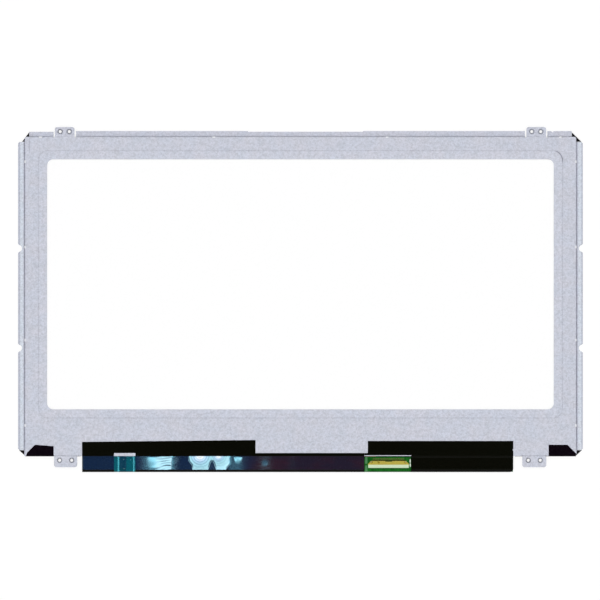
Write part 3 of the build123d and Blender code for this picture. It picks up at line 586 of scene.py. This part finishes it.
def make_film():
    columns = sum(count for _, count in film_columns)
    rows = sum(count for _, count in film_rows)
    top, low = film_rows[0][0], film_rows[-1][0]
    mesh_builder = bmesh.new()
    bmesh.ops.create_grid(mesh_builder, x_segments=columns, y_segments=rows, size=0.5)
    fold_line = set()
    for vert in mesh_builder.verts:
        x = stepped(film_columns, round((vert.co.x + 0.5) * columns))
        y = stepped(film_rows, round((0.5 - vert.co.y) * rows))
        if y in film_fold_y:
            fold_line.add(vert)
        past_fold = max(0.0, (film_fold_y[1] - y) / (film_fold_y[1] - low))
        height = film_height(x, y, (top - y) / (top - low))
        vert.co = Vector((x, y - tail_cover * film_over_tail(x) * past_fold, height)) * mm
    for face in mesh_builder.faces:
        face.smooth = True
    for edge in mesh_builder.edges:
        edge.smooth = not (edge.is_boundary or fold_line.issuperset(edge.verts))
    film = piece("board_film_creased", mesh_builder, "blue_film")
    wall = film.modifiers.new("thickness", "SOLIDIFY")
    wall.thickness = film_thickness * mm
    wall.offset = -1
    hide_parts("board_film")


# Small parts round the socket and the tail, in millimetres
board_face = 1.3
tail_face = 1.42
bead_height = 0.14
dome_sides, dome_levels = 20, 5
socket_beads = [(69.95, -106.55, 0.5, 1.3), (69.95, -109.2, 0.5, 1.3)]
tail_beads = [(-112.6, -105.6, 0.6, 0.45), (-112.3, -111.5, 0.7, 0.4)]
board_beads = [(-108.2, -105.8, 0.55, 0.4)]
# Dark bar that paints the shade in the gap behind the socket's shell
shade_bar_centre = (56.05, -106.24, 1.75)
shade_bar_size = (20.1, 0.66, 0.5)
shade_bar_round = 0.1


def solder_domes(mesh_builder, beads, face_z):
    """Flat-bottomed domes standing on a face."""
    turns = [2 * math.pi * k / dome_sides for k in range(dome_sides)]
    for x, y, half_x, half_y in beads:
        rings = []
        for level in range(dome_levels):
            rise = 0.5 * math.pi * level / dome_levels
            wide, z = math.cos(rise), face_z + bead_height * math.sin(rise)
            rings.append([mesh_builder.verts.new((x + half_x * wide * math.cos(turn),
                                                  y + half_y * wide * math.sin(turn), z)) for turn in turns])
        top = mesh_builder.verts.new((x, y, face_z + bead_height))
        mesh_builder.faces.new(rings[0][::-1])
        for k in range(dome_sides):
            for lower, upper in zip(rings, rings[1:]):
                mesh_builder.faces.new((lower[k - 1], lower[k], upper[k], upper[k - 1]))
            mesh_builder.faces.new((rings[-1][k - 1], rings[-1][k], top))


def make_solder():
    mesh_builder = bmesh.new()
    solder_domes(mesh_builder, socket_beads + board_beads, board_face)
    solder_domes(mesh_builder, tail_beads, tail_face)
    bmesh.ops.recalc_face_normals(mesh_builder, faces=mesh_builder.faces)
    for face in mesh_builder.faces:
        face.smooth = len(face.verts) < 5
    bmesh.ops.scale(mesh_builder, vec=(mm, mm, mm), verts=mesh_builder.verts)
    piece("solder_beads", mesh_builder, "zinc_steel", solder_finish)


def make_shade_bar():
    """Dark bar over the contacts at the back of the socket, painted shade for the gap behind its shell."""
    mesh_builder = bmesh.new()
    place = Matrix.Translation(shade_bar_centre) @ Matrix.Diagonal((*shade_bar_size, 1))
    bmesh.ops.create_cube(mesh_builder, size=1.0, matrix=place)
    bmesh.ops.bevel(mesh_builder, geom=mesh_builder.edges[:], offset=shade_bar_round, segments=2, profile=0.5,
                    affect="EDGES", material=-1)
    bmesh.ops.scale(mesh_builder, vec=(mm, mm, mm), verts=mesh_builder.verts)
    piece("signal_socket_shade_bar", mesh_builder, "chip_black", shade_bar_finish)


# Floor and light
floor_reach = 30.0
floor_drop = 0.02 * mm
floor_shade = 0.16
floor_glow = 0.85
light_bands = [(0, 0.02), (8.5, 0.02), (11.5, 2.2), (14, 3.0), (18.5, 3.0), (21.5, 1.6), (36, 1.6),
               (52, 0.40), (84, 0.40), (85.5, 1.0), (90, 1.0)]


def make_floor():
    mesh_builder = bmesh.new()
    bmesh.ops.create_grid(mesh_builder, x_segments=1, y_segments=1, size=floor_reach)
    bmesh.ops.translate(mesh_builder, verts=mesh_builder.verts, vec=(0, 0, -floor_drop))
    mesh = bpy.data.meshes.new("floor")
    mesh_builder.to_mesh(mesh)
    mesh_builder.free()
    floor = bpy.data.objects.new("floor", mesh)
    scene.collection.objects.link(floor)
    material = bpy.data.materials.new("floor_white")
    material.use_nodes = True
    tree = material.node_tree
    tree.nodes.remove(tree.nodes["Principled BSDF"])
    card = tree.nodes.new("ShaderNodeBsdfDiffuse")
    card.inputs["Color"].default_value = (floor_shade, floor_shade, floor_shade, 1)
    glow = tree.nodes.new("ShaderNodeEmission")
    path = tree.nodes.new("ShaderNodeLightPath")
    seen = path.outputs["Is Camera Ray"]
    for ray in ("Is Glossy Ray", "Is Transmission Ray"):
        either = tree.nodes.new("ShaderNodeMath")
        either.operation = "MAXIMUM"
        tree.links.new(seen, either.inputs[0])
        tree.links.new(path.outputs[ray], either.inputs[1])
        seen = either.outputs[0]
    level = tree.nodes.new("ShaderNodeMath")
    level.operation = "MULTIPLY"
    level.inputs[1].default_value = floor_glow
    tree.links.new(seen, level.inputs[0])
    tree.links.new(level.outputs[0], glow.inputs["Strength"])
    both = tree.nodes.new("ShaderNodeAddShader")
    tree.links.new(card.outputs[0], both.inputs[0])
    tree.links.new(glow.outputs[0], both.inputs[1])
    tree.links.new(both.outputs[0], tree.nodes["Material Output"].inputs["Surface"])
    mesh.materials.append(material)


def make_world():
    """Soft ring of light round a dark zenith, with a white horizon."""
    world = bpy.data.worlds.new("studio")
    scene.world = world
    world.use_nodes = True
    tree = world.node_tree
    place = tree.nodes.new("ShaderNodeTexCoord")
    split = tree.nodes.new("ShaderNodeSeparateXYZ")
    tree.links.new(place.outputs["Generated"], split.inputs["Vector"])
    angle = tree.nodes.new("ShaderNodeMath")
    angle.operation = "ARCCOSINE"
    tree.links.new(split.outputs["Z"], angle.inputs[0])
    bands = tree.nodes.new("ShaderNodeFloatCurve")
    points = bands.mapping.curves[0].points
    while len(points) < len(light_bands):
        points.new(0.5, 0.5)
    top = max(level for _, level in light_bands)
    for point, (degrees, level) in zip(points, light_bands):
        point.location = (degrees / 90, level / top)
        point.handle_type = "VECTOR"
    bands.mapping.update()
    turn = tree.nodes.new("ShaderNodeMath")
    turn.operation = "DIVIDE"
    turn.inputs[1].default_value = math.pi / 2
    tree.links.new(angle.outputs[0], turn.inputs[0])
    tree.links.new(turn.outputs[0], bands.inputs["Value"])
    scale = tree.nodes.new("ShaderNodeMath")
    scale.operation = "MULTIPLY"
    scale.inputs[1].default_value = top
    tree.links.new(bands.outputs[0], scale.inputs[0])
    tree.links.new(scale.outputs[0], tree.nodes["Background"].inputs["Strength"])
    tree.nodes["Background"].inputs["Color"].default_value = (1, 1, 1, 1)


set_camera()
make_film()
make_solder()
make_shade_bar()
make_floor()
make_world()

scene.view_settings.view_transform = "Standard"
